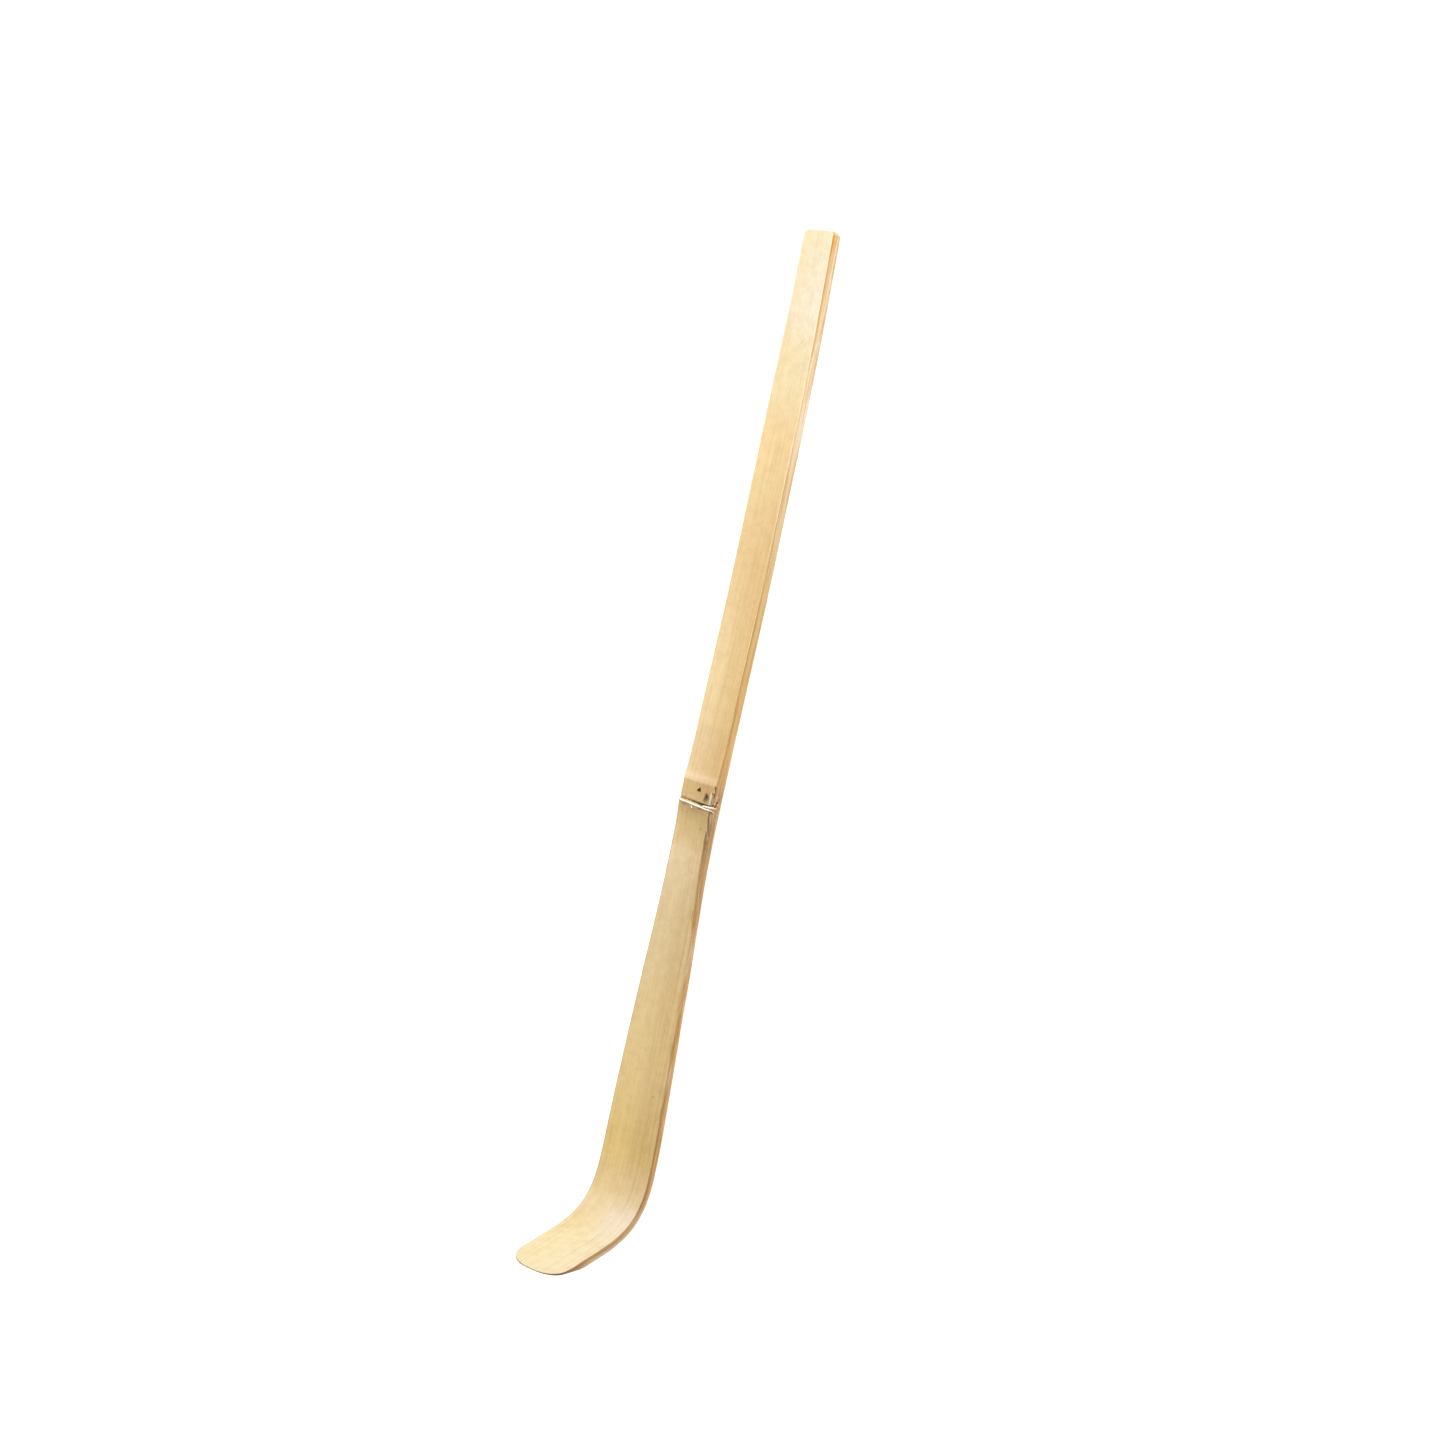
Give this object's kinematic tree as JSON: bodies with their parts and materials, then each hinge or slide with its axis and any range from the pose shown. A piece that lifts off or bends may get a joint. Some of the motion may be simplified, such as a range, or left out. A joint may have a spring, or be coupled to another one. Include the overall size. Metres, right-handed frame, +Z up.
{
  "type": "bamboo tea scoop",
  "caption": "Slender bamboo tea scoop: a flat handle with a node in the middle, widening to a blade whose tip is bent up to lift powdered tea.",
  "frame": {"origin": "on the surface that the scoop lies on, under the middle of its bounding box", "axes": "+X along the strip towards the handle's end, with the bent tip at -X; +Z up, the way the bamboo's skin faces and the tip is bent; +Y across the strip"},
  "size_m": [0.18, 0.0116, 0.0216],
  "materials": {
    "bamboo": "planed and burnished bamboo, pale skin with a soft natural gloss, fibrous orange-brown cut edges",
    "dry_sheath": "matte dry plant fibre",
    "dry_bud_scale": "matte dry bud scale"
  },
  "bodies": {
    "root": {"bamboo_strip": "bamboo", "sheath_fibre": "dry_sheath", "sheath_fork": "dry_sheath", "sheath_curl": "dry_sheath", "bud_scale": "dry_bud_scale"}
  },
  "joints": []
}
